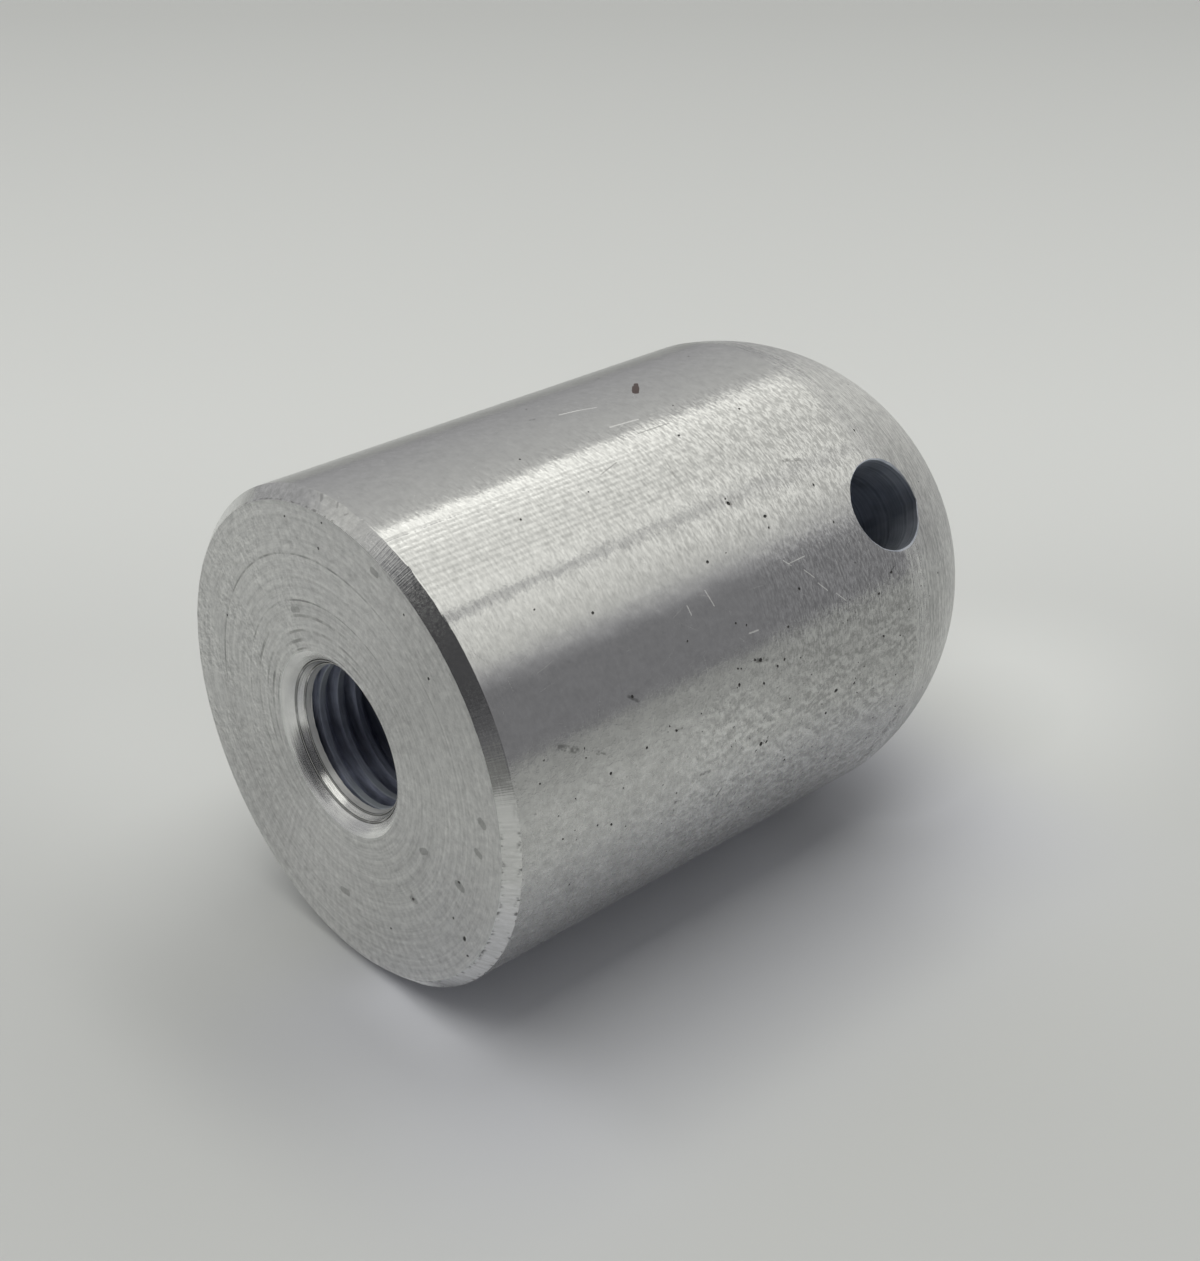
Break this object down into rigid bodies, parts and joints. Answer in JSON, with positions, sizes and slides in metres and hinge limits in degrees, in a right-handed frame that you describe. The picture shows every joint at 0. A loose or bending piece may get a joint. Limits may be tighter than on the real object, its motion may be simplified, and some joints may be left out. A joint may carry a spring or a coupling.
{
  "type": "domed turned part",
  "caption": "Turned aluminium cylinder with a domed end, a bevelled flat end with a threaded hole, and a plain hole across it.",
  "frame": {"origin": "centre of the flat face at the threaded end, which the part stands on", "axes": "+Z along the turning axis, from the flat face to the tip of the dome; +X along the cross hole"},
  "size_m": [0.06, 0.06, 0.09],
  "materials": {
    "body": "satin, as turned"
  },
  "bodies": {
    "root": {"body": "body"}
  },
  "joints": []
}
